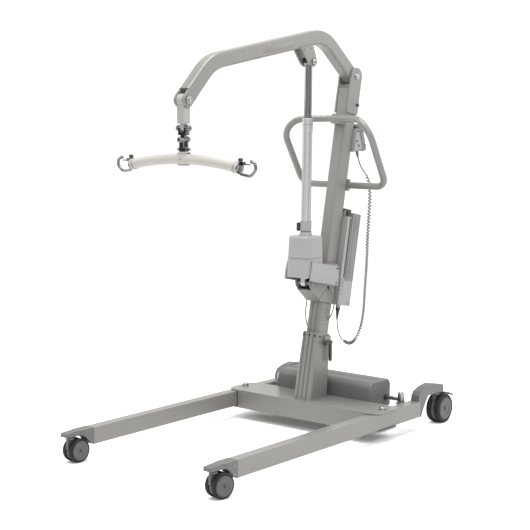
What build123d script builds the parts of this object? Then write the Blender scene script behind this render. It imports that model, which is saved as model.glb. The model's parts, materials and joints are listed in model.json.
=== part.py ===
"""Mobile patient lift hoist: wheeled base with opening legs, leaning mast, lift boom, sling bar.

Millimetres. +Z is up, the legs point towards -Y, and +X is the right-hand side.
The origin is on the floor, under the centre of the hoist.
"""
import os
from math import cos, hypot, radians, sin, tan

from build123d import *

os.makedirs("parts", exist_ok=True)

# ---------------------------------------------------------------- shared fits
RUN = 0.05              # radial clearance of a pin in its bore
GAP = 0.4               # side clearance between parts that turn or slide past each other
NEST = 0.3              # clearance of a spigot inside a tube

# ---------------------------------------------------------------- base
LEG_X = 296.5           # leg centre line, from the middle of the hoist
LEG_W, LEG_H, LEG_WALL = 40.0, 54.0, 3.0
LEG_Z = 72.0            # height of the leg's centre line
LEG_AHEAD = 756.0       # from the leg pivot to the leg's front end
LEG_BEHIND = 199.0      # from the leg pivot to the leg's rear end
PIVOT_Y = 231.0
PIVOT_R = 8.0
SPREAD_MAX = 13.0       # degrees that each leg opens
BEAM_DEPTH, BEAM_WALL = 138.0, 4.6
BEAM_END = 271.0        # the box part of the beam ends here; its plates go on over the legs
PLATE_REACH = 25.5      # how far the plates pass the leg's centre line
PLATE_CORNER = 34.0

# ---------------------------------------------------------------- casters
FRONT_WHEEL = dict(radius=37.5, width=46.0, hub=31.0, trail=23.0, stem=6.0)
REAR_WHEEL = dict(radius=50.0, width=50.0, hub=39.0, trail=26.0, stem=8.0)
WEB = 10.0              # thickness of the caster's centre web
AXLE_R = 4.0
COLLAR_R = 13.0
FRONT_REACH = 82.0      # from the leg's front end to the caster stem
FRONT_UNDER = 84.0      # underside of the front bracket's tongue
REAR_REACH = 123.0      # from the leg's rear end to the caster stem
REAR_UNDER = 112.0      # underside of the rear arm
ARM_OFFSET = 3.0        # the rear arm stands this far outside the leg's centre line
FRONT_TURN = {"right": 10.0, "left": 3.0}

# ---------------------------------------------------------------- mast
LEAN = 11.5             # degrees that the mast leans back
MAST_W, MAST_D, MAST_WALL, MAST_R = 44.0, 60.0, 3.0, 6.0
BOOM_PIVOT = (446.5, 1200.0)     # (y, z) of the pivot at the top of the mast
MAST_TOP, MAST_FOOT = -46.0, -682.0   # along the mast, from the boom pivot
COLUMN_W, COLUMN_D, COLUMN_SHIFT, COLUMN_FOOT = 54.0, 58.0, -5.0, -1100.0
JOINT_PLATE = 8.0
FORK_T, FORK_FOOT = 6.0, -130.0
BOOM_PIN_R = 10.0
SOCKET_TOP, SOCKET_FRONT, SOCKET_BACK = -893.0, -47.5, 30.0
SOCKET_TOP_W, SOCKET_FOOT_W = COLUMN_W + 10.0, COLUMN_W + 18.0

# ---------------------------------------------------------------- actuator
TAIL = (193.0, 505.0)            # (y, z) of the actuator's lower pivot
ROD_PIN = (210.0, 1243.5)        # (y, z) of the actuator's upper pivot
TAIL_PIN_R, ROD_STUB_R = 6.0, 8.0
ROD_R, TUBE_R, TUBE_BORE = 12.7, 16.5, 13.6
TUBE_END, ACT_COLLAR_LENGTH, ACT_COLLAR_R = 511.0, 43.0, 17.6
HOUSING_FOOT, HOUSING_TOP = 22.0, 160.0
HOUSING_SIZE, HOUSING_TOP_SIZE, HOUSING_WALL = (100.0, 108.0), (94.0, 100.0), 3.0

# ---------------------------------------------------------------- boom
BOOM_W = MAST_W - 2.0    # the boom's knuckle turns between the mast's fork plates
BOOM_H, BOOM_WALL, BOOM_R = 48.0, 3.5, 8.0
BOOM_TIP = (-400.0, 1116.0)      # (y, z) of the hanger pivot
BOOM_FRONT_BEND = (-284.0, 1231.5)
BOOM_REAR_BEND = (279.5, 1333.5)
FRONT_BEND_R, REAR_BEND_R = 140.0, 130.0
KNUCKLE_R = 26.0
TIP_CHEEK, TIP_R, TIP_PIN_R = 7.5, 21.0, 8.0
EAR_INNER = 14.5                 # inner face of the actuator bracket's ears

# ---------------------------------------------------------------- hanger and sling bar
LINK_W = 30.0
CROSS_PIN_Z, SIDE_PIN_Z = 1033.0, 999.0
CROSS_R = 5.0
BAR_Z, BAR_SAG, BAR_REACH, BAR_R = 941.0, 21.0, 218.0, 16.2
SWIVEL_R = 6.0
HOOK_WIRE = 4.6

# ---------------------------------------------------------------- push handle
HANDLE_R = 11.5
HANDLE_TOP, HANDLE_LOW = -157.0, -373.7       # along the mast, from the boom pivot

# ---------------------------------------------------------------- control box
BOX_W, BOX_NEAR, BOX_SPLIT, BOX_FAR = 90.0, 33.0, 58.0, 110.0
BOX_FOOT, BOX_SHELF, BOX_TOP = -790.0, -700.0, -475.0

# ---------------------------------------------------------------- curly cord
LEAD_R, COIL_R = 2.25, 7.0
LEAD_TOP_ROUTE = [(6, 486.9, 919.6), (9, 493, 898), (13.5, 502.5, 878), (20, 519, 860.5)]
COIL_ROUTE = [(20, 519, 860.5), (26, 536, 812), (29.5, 526.5, 728), (32, 512.5, 630), (33.5, 508, 545),
              (35, 493.5, 440), (35.5, 487, 362), (35, 463, 294), (35, 412, 266), (35, 366, 287)]
LEAD_LOW_ROUTE = [(35, 366, 287), (35, 350, 302), (35, 338, 323), (35, 332, 347), (35, 330, 368)]


# ================================================================ helpers
def block(x0, x1, y0, y1, z0, z1):
    """Axis-parallel box between two corners."""
    centre = Pos((x0 + x1) / 2, (y0 + y1) / 2, (z0 + z1) / 2)
    return centre * Box(abs(x1 - x0), abs(y1 - y0), abs(z1 - z0))


def bar(radius, start, end):
    """Round bar between two points."""
    run = Vector(*end) - Vector(*start)
    plane = Plane(origin=start, z_dir=run)
    return plane * Pos(0, 0, run.length / 2) * Cylinder(radius, run.length)


def slab(points, x0, x1, corner=0.0):
    """Plate whose (y, z) outline is drawn by points, from x0 to x1."""
    outline = make_face(Polyline(*points, close=True))
    if corner:
        outline = fillet(outline.vertices(), corner)
    return extrude(Plane.YZ.offset(min(x0, x1)) * outline, abs(x1 - x0))


def plan(sketch, z0, z1):
    """Upright prism of a plan outline."""
    return extrude(Plane.XY.offset(z0) * sketch, z1 - z0)


def both_sides(shape):
    """The shape and its mirror image across the middle of the hoist."""
    return [shape, mirror(shape, about=Plane.YZ)]


def dome(radius, height, start, direction):
    """Rounded cap nut standing on a face."""
    plane = Plane(origin=start, z_dir=direction)
    body = Pos(0, 0, height / 2) * Cylinder(radius, height)
    crown = body.edges().filter_by(GeomType.CIRCLE).sort_by(Axis.Z)[-1:]
    return plane * fillet(crown, min(radius, height) * 0.62)


def tube_route(points):
    """Straight runs joined by the largest arcs that they allow; gives the wire and its radii."""
    radii = []
    for before, here, after in zip(points, points[1:], points[2:]):
        arriving, leaving = Vector(*here) - Vector(*before), Vector(*after) - Vector(*here)
        turn = radians(arriving.get_angle(leaving))
        radii.append(0.45 * min(arriving.length, leaving.length) / tan(turn / 2))
    return FilletPolyline(*points, radius=radii), radii


def cord(name, points, radius):
    """Cord tube along its route; prints its bend radii and checks its volume."""
    path, radii = tube_route(points)
    tube = sweep(Plane(origin=path @ 0, z_dir=path % 0) * Circle(radius), path=path)
    expected = 3.14159 * radius ** 2 * path.length
    print(name, "length %.0f" % path.length, "radii", [round(r) for r in radii],
          "volume ratio %.3f" % (tube.volume / expected))
    return tube


MAST = Plane(origin=(0, BOOM_PIVOT[0], BOOM_PIVOT[1]), x_dir=(1, 0, 0),
             z_dir=(0, sin(radians(LEAN)), cos(radians(LEAN))))


def mast_point(across, along):
    """World (y, z) of a point given behind and along the mast."""
    lean = radians(LEAN)
    return (BOOM_PIVOT[0] + across * cos(lean) + along * sin(lean),
            BOOM_PIVOT[1] - across * sin(lean) + along * cos(lean))


def mast_block(x0, x1, y0, y1, z0, z1):
    """Box in the mast's own leaning frame."""
    return MAST * block(x0, x1, y0, y1, z0, z1)


def mast_tube(width, depth, wall, corner, shift, z0, z1):
    """Rounded rectangular tube in the mast's frame."""
    outer = Pos(0, shift) * RectangleRounded(width, depth, corner)
    inner = Pos(0, shift) * RectangleRounded(width - 2 * wall, depth - 2 * wall, max(corner - wall, 0.8))
    return MAST * extrude(Plane.XY.offset(z0) * (outer - inner), z1 - z0)


# ================================================================ base
def leg_swing(shape, angle):
    """The right leg's shape turned about its pivot."""
    return Pos(LEG_X, PIVOT_Y, 0) * Rot(0, 0, angle) * Pos(-LEG_X, -PIVOT_Y, 0) * shape


LEG_FRONT, LEG_REAR = PIVOT_Y - LEG_AHEAD, PIVOT_Y + LEG_BEHIND
LEG_LOW, LEG_TOP = LEG_Z - LEG_H / 2, LEG_Z + LEG_H / 2
FRONT_RISE, REAR_RISE = LEG_TOP - FRONT_UNDER - 4.0, 13.0     # stem length inside the castings
BEAM_LOW, BEAM_TOP = LEG_LOW - GAP - BEAM_WALL, LEG_TOP + GAP + BEAM_WALL
BEAM_Y0, BEAM_Y1 = PIVOT_Y - 2.5 - BEAM_DEPTH / 2, PIVOT_Y - 2.5 + BEAM_DEPTH / 2
COVER_DEPTH, COVER_HALF, COVER_TOP, COVER_WALL = 124.0, 200.0, 168.0, 3.0
TRAY_T = 5.0
ROD_Y, ROD_Z, SPREAD_ROD_R = 388.5, 106.0, 7.0
LUG_X, LUG_R, LUG_T, STUD_R = 264.0, 13.0, 6.0, 4.5
LUG_SLOT = 12.0         # the stud runs this far along the lug's slot
SPREAD_REACH = 162.0    # rod travel per radian of leg opening


def cross_beam():
    reach = LEG_X + PLATE_REACH
    middle = (BEAM_Y0 + BEAM_Y1) / 2
    outline = Pos(0, middle) * RectangleRounded(2 * reach, BEAM_DEPTH, PLATE_CORNER)
    beam = plan(outline, BEAM_LOW, BEAM_TOP)
    slot_w = LEG_W / 2 + GAP
    leg_room = block(BEAM_END, reach + 1, BEAM_Y0 - 1, BEAM_Y1 + 1, LEG_LOW - GAP, LEG_TOP + GAP)
    for angle in (0.0, SPREAD_MAX / 2, SPREAD_MAX):
        room = block(LEG_X - slot_w, LEG_X + slot_w, BEAM_Y0 - 30, BEAM_Y1 + 30,
                     LEG_LOW - GAP, LEG_TOP + GAP)
        leg_room += leg_swing(room, angle)
    hollow_end = BEAM_END - 38
    hollow = block(-hollow_end, hollow_end, BEAM_Y0 + BEAM_WALL, BEAM_Y1 - BEAM_WALL,
                   BEAM_LOW + BEAM_WALL, BEAM_TOP - BEAM_WALL)
    bore = bar(PIVOT_R, (LEG_X, PIVOT_Y, BEAM_LOW - 1), (LEG_X, PIVOT_Y, BEAM_TOP + 1))
    beam -= hollow
    for cut in both_sides(leg_room) + both_sides(bore):
        beam -= cut
    tray = block(-COVER_HALF + 8, COVER_HALF - 8, BEAM_Y1 - BEAM_WALL, BEAM_Y1 + COVER_DEPTH - 8,
                 COVER_LOW - TRAY_T, COVER_LOW)
    return beam + tray


COVER_LOW = BEAM_LOW + 32.0


def leg_pivot_bolt():
    bolt = bar(PIVOT_R, (LEG_X, PIVOT_Y, BEAM_LOW - 9), (LEG_X, PIVOT_Y, BEAM_TOP))
    bolt += dome(11.0, 11.0, (LEG_X, PIVOT_Y, BEAM_TOP), (0, 0, 1))
    nut = plan(Pos(LEG_X, PIVOT_Y) * RegularPolygon(12.0, 6), BEAM_LOW - 8, BEAM_LOW)
    return bolt + nut


def leg_tube():
    """Right leg: hollow box tube, pivot bush, and the lug that the spreader rod pulls."""
    x0, x1 = LEG_X - LEG_W / 2, LEG_X + LEG_W / 2
    tube = block(x0, x1, LEG_FRONT, LEG_REAR, LEG_LOW, LEG_TOP)
    tube = fillet(tube.edges().filter_by(Axis.Y), 3.5)
    tube -= block(x0 + LEG_WALL, x1 - LEG_WALL, LEG_FRONT - 1, LEG_REAR + 1,
                  LEG_LOW + LEG_WALL, LEG_TOP - LEG_WALL)
    bush = bar(PIVOT_R + 6, (LEG_X, PIVOT_Y, LEG_LOW), (LEG_X, PIVOT_Y, LEG_TOP))
    tube = tube + bush - bar(PIVOT_R + RUN, (LEG_X, PIVOT_Y, LEG_LOW - 1), (LEG_X, PIVOT_Y, LEG_TOP + 1))
    top = ROD_Z - SPREAD_ROD_R - 1.5
    lug = Pos((LUG_X + x0) / 2, ROD_Y) * Rectangle(x0 - LUG_X + 1, 2 * LUG_R + 12)
    lug += Pos(LUG_X, ROD_Y) * SlotOverall(2 * LUG_R + 12, 2 * LUG_R, rotation=90)
    slot_w = 2 * (STUD_R + 1)
    lug -= Pos(LUG_X, ROD_Y + LUG_SLOT / 2) * SlotOverall(LUG_SLOT + slot_w, slot_w, rotation=90)
    return tube + plan(lug, top - LUG_T, top)


def front_bracket():
    """Casting on the leg's front end: tongue over the caster, gusset back to the leg, spigot inside it."""
    y = LEG_FRONT
    profile = [(y, LEG_LOW), (y, LEG_TOP), (y - 60, LEG_TOP + 0.5), (y - 111, LEG_TOP - 2),
               (y - 111, FRONT_UNDER + 2), (y - 78, FRONT_UNDER), (y - 46, FRONT_UNDER - 1),
               (y - 34, FRONT_UNDER - 8), (y - 22, FRONT_UNDER - 18), (y - 11, LEG_LOW + 6)]
    casting = slab(profile, LEG_X - LEG_W / 2, LEG_X + LEG_W / 2)
    tip_w = 31.0
    outline = make_face(Polyline((-LEG_W / 2, 1), (-LEG_W / 2, -40), (-tip_w / 2, -64), (-tip_w / 2, -112),
                                 (tip_w / 2, -112), (tip_w / 2, -64), (LEG_W / 2, -40), (LEG_W / 2, 1),
                                 close=True))
    outline = fillet(outline.vertices().sort_by(Axis.Y)[:2], 9)
    casting &= plan(Pos(LEG_X, y) * outline, LEG_LOW - 1, LEG_TOP + 2)
    relief = block(LEG_X - 15, LEG_X + 15, y - 60, y - 4, LEG_LOW - 1, FRONT_UNDER - 2)
    casting -= relief
    spigot = block(LEG_X - LEG_W / 2 + LEG_WALL + NEST, LEG_X + LEG_W / 2 - LEG_WALL - NEST, y - 4, y + 40,
                   LEG_LOW + LEG_WALL + NEST, LEG_TOP - LEG_WALL - NEST)
    bore = bar(FRONT_WHEEL["stem"] + RUN, (LEG_X, y - FRONT_REACH, FRONT_UNDER - 2),
               (LEG_X, y - FRONT_REACH, FRONT_UNDER + FRONT_RISE + 1))
    return casting + spigot - bore


def rear_arm():
    """Goose-neck casting from the leg's rear end up and back over the rear caster."""
    y, low, top = LEG_REAR, LEG_LOW, LEG_TOP
    under = REAR_UNDER
    profile = [(y - 10, top), (y - 6, under + 8), (y + 6, under + 21), (y + 36, under + 31),
               (y + 76, under + 36), (y + 152, under + 22), (y + 153, under), (y + 104, under),
               (y + 50, under - 1), (y + 29, under - 30), (y + 17, under - 50), (y + 9, low + 1),
               (y, low), (y, top)]
    x = LEG_X + ARM_OFFSET
    arm = slab(profile, x - 16, x + 16)
    arm = fillet(arm.edges().filter_by(Axis.X).sort_by(Axis.Z)[-4:], 7)
    outline = Pos(x, y + 60) * RectangleRounded(32, 190, 9)
    arm &= plan(outline, low - 1, under + 60)
    inner = LEG_W / 2 - LEG_WALL - NEST
    spigot = block(LEG_X - inner, LEG_X + inner, y - 36, y + 6,
                   low + LEG_WALL + NEST, top - LEG_WALL - NEST)
    stem_y = y + REAR_REACH
    bore = bar(REAR_WHEEL["stem"] + RUN, (x, stem_y, under - 2), (x, stem_y, under + REAR_RISE + 1))
    return arm + spigot - bore


def caster(wheel, under, rise, rear):
    """Twin-wheel swivel caster with its stem on the Z axis, trailing towards +Y."""
    r, trail, half = wheel["radius"], wheel["trail"], wheel["width"] / 2
    side = WEB / 2 + 0.8
    web = bar(r - 4, (-WEB / 2, trail, r), (WEB / 2, trail, r))
    neck_back = trail + 14 if rear else 13
    web += block(-WEB / 2, WEB / 2, -COLLAR_R, neck_back, r + 6, 2 * r + (5 if rear else 1.2))
    web += bar(COLLAR_R, (0, 0, 2 * r + 1.2), (0, 0, under - GAP))
    web += bar(wheel["stem"], (0, 0, under - GAP - 1), (0, 0, under + rise))
    web -= bar(AXLE_R + RUN, (-WEB, trail, r), (WEB, trail, r))
    tyres, hubs = [], bar(AXLE_R, (-half, trail, r), (half, trail, r))
    for sign in (-1, 1):
        ring = bar(r, (sign * side, trail, r), (sign * half, trail, r))
        ring = fillet(ring.edges().filter_by(GeomType.CIRCLE), min(4.5, (half - side) * 0.3))
        ring -= bar(wheel["hub"], (sign * (side - 1), trail, r), (sign * (half + 1), trail, r))
        tyres.append(ring)
        disc = bar(wheel["hub"], (sign * side, trail, r), (sign * (half + 0.6), trail, r))
        hubs += disc
    pedal = None
    if rear:
        hinge = (trail + 9, 2 * r + 2.6)
        web -= bar(2 + RUN, (-WEB, *hinge), (WEB, *hinge))
        t, top = trail, 2 * r
        outline = [(t + 5, top + 5.6), (t + 30, top + 2.4), (t + 57, top - 9), (t + 57, top - 13.5),
                   (t + 42, top - 10), (t + 29, top - 3), (t + 16, top), (t + 5, top + 2)]
        pedal = slab(outline, -21, 21)
        pedal = pedal - block(-WEB / 2 - GAP, WEB / 2 + GAP, -50, t + 15, top - 20, top + 20)
        pedal += bar(2, (-21, *hinge), (21, *hinge))
    return web, tyres, hubs, pedal


# ================================================================ leg spreader
def base_cover():
    y0, y1 = BEAM_Y1, BEAM_Y1 + COVER_DEPTH
    shell = block(-COVER_HALF, COVER_HALF, y0, y1, COVER_LOW, COVER_TOP)
    shell = fillet(shell.edges().filter_by(Axis.X).sort_by(Axis.Z)[-2:], 22)
    shell = fillet(shell.edges().filter_by(Plane.YZ).group_by(Axis.X)[0]
                   + shell.edges().filter_by(Plane.YZ).group_by(Axis.X)[-1], 6)
    t = COVER_WALL
    cavity = block(-COVER_HALF + t, COVER_HALF - t, y0 + t, y1 - t, COVER_LOW - 1, COVER_TOP - t)
    cavity = fillet(cavity.edges().filter_by(Axis.X).sort_by(Axis.Z)[-2:], 20)
    shell -= cavity
    shell -= bar(SPREAD_ROD_R + 2, (-COVER_HALF - 1, ROD_Y, ROD_Z), (COVER_HALF + 1, ROD_Y, ROD_Z))
    return shell


MOTOR_HALF = 150.0
ROD_INNER = 100.0
MOTOR_BORE_END = ROD_INNER - SPREAD_REACH * radians(SPREAD_MAX) - 5


def spread_motor():
    """Screw-drive unit inside the base cover; a rod slides out of each end."""
    body = block(-MOTOR_HALF, MOTOR_HALF, ROD_Y - 22, ROD_Y + 22, COVER_LOW, ROD_Z + 20)
    motor = bar(26, (-70, ROD_Y - 50, COVER_LOW + 30), (70, ROD_Y - 50, COVER_LOW + 30))
    gearbox = block(-30, 30, ROD_Y - 50, ROD_Y, COVER_LOW, COVER_LOW + 62)
    unit = fillet(body.edges().filter_by(Axis.X), 5) + motor + gearbox
    for sign in (-1, 1):
        unit -= bar(SPREAD_ROD_R + RUN, (sign * MOTOR_BORE_END, ROD_Y, ROD_Z), (sign * 160, ROD_Y, ROD_Z))
    return unit


def spreader_rod():
    rod = bar(SPREAD_ROD_R, (ROD_INNER, ROD_Y, ROD_Z), (LUG_X, ROD_Y, ROD_Z))
    eye_low, eye_top = ROD_Z - SPREAD_ROD_R - 0.9, ROD_Z + SPREAD_ROD_R + 0.9
    eye = bar(11.5, (LUG_X, ROD_Y, eye_low), (LUG_X, ROD_Y, eye_top))
    stud = bar(STUD_R, (LUG_X, ROD_Y, eye_low - LUG_T - 8), (LUG_X, ROD_Y, eye_top))
    nut = bar(8.5, (LUG_X, ROD_Y, eye_low - LUG_T - 8), (LUG_X, ROD_Y, eye_low - LUG_T - 2.2))
    return rod + eye + stud + nut + dome(10.5, 19.0, (LUG_X, ROD_Y, eye_top), (0, 0, 1))


# ================================================================ mast
def mast_socket():
    """Ribbed sleeve welded to the beam; the lower column stands in it."""
    start_y, start_z = mast_point(SOCKET_FRONT, 0)
    front_y = start_y - tan(radians(LEAN)) * (start_z - BEAM_TOP)
    rear_y = BEAM_Y1 - 20
    foot = Pos(0, (front_y + rear_y) / 2) * RectangleRounded(SOCKET_FOOT_W, rear_y - front_y, 8)
    head = RectangleRounded(SOCKET_TOP_W, SOCKET_BACK - SOCKET_FRONT, 8)
    head = Pos(0, (SOCKET_FRONT + SOCKET_BACK) / 2) * head
    sleeve = loft([Plane.XY.offset(BEAM_TOP) * foot, MAST * Plane.XY.offset(SOCKET_TOP) * head])
    cavity = Pos(0, COLUMN_SHIFT) * RectangleRounded(COLUMN_W + 2 * NEST, COLUMN_D + 2 * NEST, MAST_R)
    room = MAST * extrude(Plane.XY.offset(COLUMN_FOOT - 1) * cavity, SOCKET_TOP - COLUMN_FOOT + 90)
    sleeve -= room
    for x in (-18.0, 0.0, 18.0):
        sleeve -= mast_block(x - 3.2, x + 3.2, SOCKET_FRONT - 9, SOCKET_FRONT + 2.4,
                             COLUMN_FOOT - 60, SOCKET_TOP + 9)
    y, z = CLAMP_Y, CLAMP_Z
    boss = block(30, 41, y - 8, y + 24, z - 7, z + 22)
    boss = fillet(boss.edges().filter_by(Axis.X), 4) - room
    return sleeve + boss - bar(CLAMP_PIN_R + RUN, (33, y, z), (60, y, z))


CLAMP_Y, CLAMP_Z, CLAMP_PIN_R = 264.0, 295.0, 4.0


def clamp_lever():
    """Black lever on a screw that clamps the column in its socket."""
    y, z = CLAMP_Y, CLAMP_Z
    lever = bar(CLAMP_PIN_R, (34, y, z), (46, y, z))
    lever += fillet(block(41 + GAP, 50, y - 18, y + 22, z - 7, z + 6).edges().filter_by(Axis.X), 4)
    lever += fillet(block(43, 50, y + 8, y + 19, z - 66, z + 2).edges().filter_by(Axis.X), 4)
    return lever


def lower_column():
    tube = mast_tube(COLUMN_W, COLUMN_D, 4.0, MAST_R, COLUMN_SHIFT, COLUMN_FOOT, MAST_FOOT - JOINT_PLATE)
    face = COLUMN_SHIFT - COLUMN_D / 2
    for x in (-9.5, 9.5):
        tube -= mast_block(x - 2.5, x + 2.5, face - 1, face + 1.6, COLUMN_FOOT - 1, MAST_FOOT)
    return tube


def upper_mast():
    """Upper mast tube with the two fork plates that hold the boom pivot."""
    tube = mast_tube(MAST_W, MAST_D, MAST_WALL, MAST_R, 0, MAST_FOOT, MAST_TOP)
    cap = mast_block(-MAST_W / 2 + MAST_WALL, MAST_W / 2 - MAST_WALL, -MAST_D / 2 + MAST_WALL,
                     MAST_D / 2 - MAST_WALL, MAST_TOP - 4, MAST_TOP)
    outline = make_face(Polyline((-MAST_D / 2, FORK_FOOT), (-MAST_D / 2, 0), (MAST_D / 2, 0),
                                 (MAST_D / 2, FORK_FOOT), close=True)) + Circle(MAST_D / 2)
    plates = []
    for x in (-MAST_W / 2 - FORK_T, MAST_W / 2):
        plate = MAST * extrude(Plane.YZ.offset(x) * outline, FORK_T)
        plates.append(plate)
    mast = tube + cap + plates[0] + plates[1]
    t = BOOM_PIVOT
    mast -= bar(BOOM_PIN_R, (-60, *t), (60, *t))
    hook = mast_point(MAST_D / 2 - 8, -96)
    return mast + bar(3.2, (MAST_W / 2 + FORK_T, *hook), (MAST_W / 2 + FORK_T + 4, *hook))


def boom_pivot_pin():
    t, side = BOOM_PIVOT, MAST_W / 2 + FORK_T
    pin = bar(BOOM_PIN_R, (-side, *t), (side, *t))
    for sign in (-1, 1):
        pin += dome(11.5, 6.0, (sign * side, *t), (sign, 0, 0))
    return pin


BRACKET_T = 5.0


def actuator_bracket():
    """Welded bracket at the mast joint: joint plate, two side plates, sloping web, tail pin."""
    x0, x1 = COLUMN_W / 2, COLUMN_W / 2 + BRACKET_T
    front, back = COLUMN_SHIFT - COLUMN_D / 2, COLUMN_SHIFT + COLUMN_D / 2
    y, z = TAIL
    shin, toe = (y, z - 25), (y + 50, z - 67)
    outline = [(y - 13, z + 10), (y - 11, z - 8), shin, toe, mast_point(front, -786),
               mast_point(back - 6, -790), mast_point(MAST_D / 2 - 6, -650), (y + 66, z + 66),
               (y + 62, z + 13), (y - 8, z + 13)]
    bracket = mast_block(-x0, x0, front, MAST_D / 2, MAST_FOOT - JOINT_PLATE, MAST_FOOT)
    for sign in (-1, 1):
        bracket += slab(outline, sign * x0, sign * x1)
    run = Vector(toe[0] - shin[0], toe[1] - shin[1]).normalized() * BRACKET_T
    web = [shin, toe, mast_point(front, -786), mast_point(front, -780),
           (toe[0] - run.Y, toe[1] + run.X), (shin[0] - run.Y, shin[1] + run.X)]
    room = mast_block(-x0, x0, front, MAST_D / 2, COLUMN_FOOT, MAST_FOOT - JOINT_PLATE)
    bracket += slab(web, -x0, x0) - room
    bracket += bar(TAIL_PIN_R, (-x1, y, z), (x1, y, z))
    for sign in (-1, 1):
        bracket += dome(9.5, 5.0, (sign * x1, y, z), (sign, 0, 0))
    return bracket


# ================================================================ push handle
def handle_route():
    """Where the loop of tube crosses the mast's front and rear, and its route down the right side."""
    front = mast_point(-MAST_D / 2 - HANDLE_R - 5, HANDLE_TOP)
    rear = mast_point(MAST_D / 2 + HANDLE_R, HANDLE_LOW)
    right = [(0, *front), (45, *front), (183, front[0] - 88, front[1] - 2), (178, *rear), (0, *rear)]
    return front, rear, right


def push_handle():
    """Closed loop: across the front of the mast, down both sides, across behind the mast."""
    path = FilletPolyline(*handle_route()[2], radius=[60, 66, 40])
    tube = sweep(Plane(origin=path @ 0, z_dir=path % 0) * Circle(HANDLE_R), path=path)
    return tube + mirror(tube, about=Plane.YZ)


def handle_clamps():
    """Saddle at the front of the mast and bracket at its rear that hold the handle tube."""
    front, rear, _ = handle_route()
    face, back = -MAST_D / 2, MAST_D / 2
    saddle = mast_block(-20, 20, face - HANDLE_R - 10, face, HANDLE_TOP - 17, HANDLE_TOP + 17)
    saddle -= bar(HANDLE_R, (-60, *front), (60, *front))
    cradle = mast_block(-26, 26, back, back + HANDLE_R + 1, HANDLE_LOW - 20, HANDLE_LOW + 20)
    return [saddle, cradle - bar(HANDLE_R, (-60, *rear), (60, *rear))]


# ================================================================ control box and battery
SHROUD_IN, SHROUD_OUT = HOUSING_SIZE[0] / 2 + 1.0, HOUSING_SIZE[0] / 2 + 8.0
SHROUD_FRONT, SHROUD_BACK, SHROUD_LOW, SHROUD_HIGH = -152.0, 0.0, -726.0, -660.0


def mast_shroud():
    """Plastic cheeks beside the actuator housing, joined to the mast and the control box."""
    cheeks = None
    for sign in (-1, 1):
        profile = make_face(Polyline((sign * SHROUD_IN, SHROUD_LOW), (sign * SHROUD_OUT, SHROUD_LOW),
                                     (sign * SHROUD_OUT, SHROUD_LOW + 32),
                                     (sign * (SHROUD_IN + 2.5), SHROUD_HIGH),
                                     (sign * SHROUD_IN, SHROUD_HIGH), close=True))
        cheek = extrude(Plane(origin=(0, SHROUD_FRONT, 0), x_dir=(1, 0, 0), z_dir=(0, -1, 0)) * profile,
                        SHROUD_FRONT - SHROUD_BACK)
        inner = COLUMN_W / 2 + BRACKET_T
        cheek += block(sign * inner, sign * (SHROUD_IN + 1), SHROUD_BACK - 24, SHROUD_BACK,
                       SHROUD_LOW + 4, SHROUD_HIGH - 4)
        cheeks = cheek if cheeks is None else cheeks + cheek
    return MAST * cheeks


def rounded_mast_box(x, y0, y1, z0, z1, radius):
    body = block(-x, x, y0, y1, z0, z1)
    return fillet(body.edges().filter_by(Axis.Z).group_by(Axis.Y)[-1], radius)


def control_box():
    half = BOX_W / 2
    back = block(-half + 3, half - 3, BOX_NEAR, BOX_SPLIT, BOX_FOOT, BOX_TOP - 8)
    shelf = rounded_mast_box(half, BOX_NEAR, BOX_FAR, BOX_FOOT, BOX_SHELF, 10)
    lugs = block(-16, 16, MAST_D / 2, BOX_NEAR, BOX_SHELF + 25, BOX_TOP - 30)
    socket = Pos(35, BOX_NEAR + 16, BOX_FOOT) * Cylinder(9, 18)
    button = Pos(0, BOX_FAR, BOX_FOOT + 45) * Rot(90, 0, 0) * Cylinder(STOP_STEM + RUN, 30)
    box = back + shelf + lugs + socket - button
    for step in range(4):
        z = BOX_FOOT + 36 + 13 * step
        box -= block(half - 1.6, half + 1, BOX_NEAR + 5, BOX_NEAR + 15, z, z + 7)
    return MAST * box


STOP_STEM, STOP_R = 6.0, 14.0


def emergency_stop():
    """Mushroom button on the rear of the control box."""
    z = BOX_FOOT + 45
    stem = Pos(0, BOX_FAR - 2, z) * Rot(90, 0, 0) * Cylinder(STOP_STEM, 20)
    head = Pos(0, BOX_FAR + 11, z) * Rot(90, 0, 0) * Cylinder(STOP_R, 9)
    head = fillet(head.edges().filter_by(GeomType.CIRCLE), 2.5)
    return MAST * (stem + head)


def battery_pack():
    half = BOX_W / 2
    pack = rounded_mast_box(half, BOX_SPLIT + GAP, BOX_FAR, BOX_SHELF + GAP, BOX_TOP + 7, 10)
    grip = block(-26, 26, BOX_NEAR - 1, BOX_SPLIT + 12, BOX_TOP + 9, BOX_TOP + 19)
    grip = fillet(grip.edges().filter_by(Axis.X), 4)
    post = block(-26, 26, BOX_SPLIT + 2, BOX_SPLIT + 12, BOX_TOP + 4, BOX_TOP + 14)
    lip = block(-26, 26, BOX_NEAR - 1, BOX_NEAR + 7, BOX_TOP - 6, BOX_TOP + 12)
    return MAST * (pack + grip + post + lip)


# ================================================================ handset
HANDSET_TILT = 17.0
HANDSET_AT = (12.0, 461.5, 1030.0)     # the handset's top
HANDSET_W, HANDSET_T, HANDSET_L = 52.0, 22.0, 88.0


def handset_frame():
    """Frame of the hanging handset: z runs up along it, y out of its key face."""
    tilt = radians(HANDSET_TILT)
    return Plane(origin=HANDSET_AT, x_dir=(1, 0, 0), z_dir=(0, -sin(tilt), cos(tilt)))


def handset_cradle():
    """Wedge on the rear of the mast that the handset hangs on."""
    high, low = mast_point(MAST_D / 2, -176), mast_point(MAST_D / 2, -258)
    at = handset_frame()
    back_high = at.from_local_coords((0, -HANDSET_T / 2 - GAP, -6))
    back_low = at.from_local_coords((0, -HANDSET_T / 2 - GAP, -82))
    outline = [high, (back_high.Y, back_high.Z), (back_low.Y, back_low.Z), low]
    return slab(outline, -MAST_W / 2, MAST_W / 2 + HANDSET_AT[0])


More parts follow.
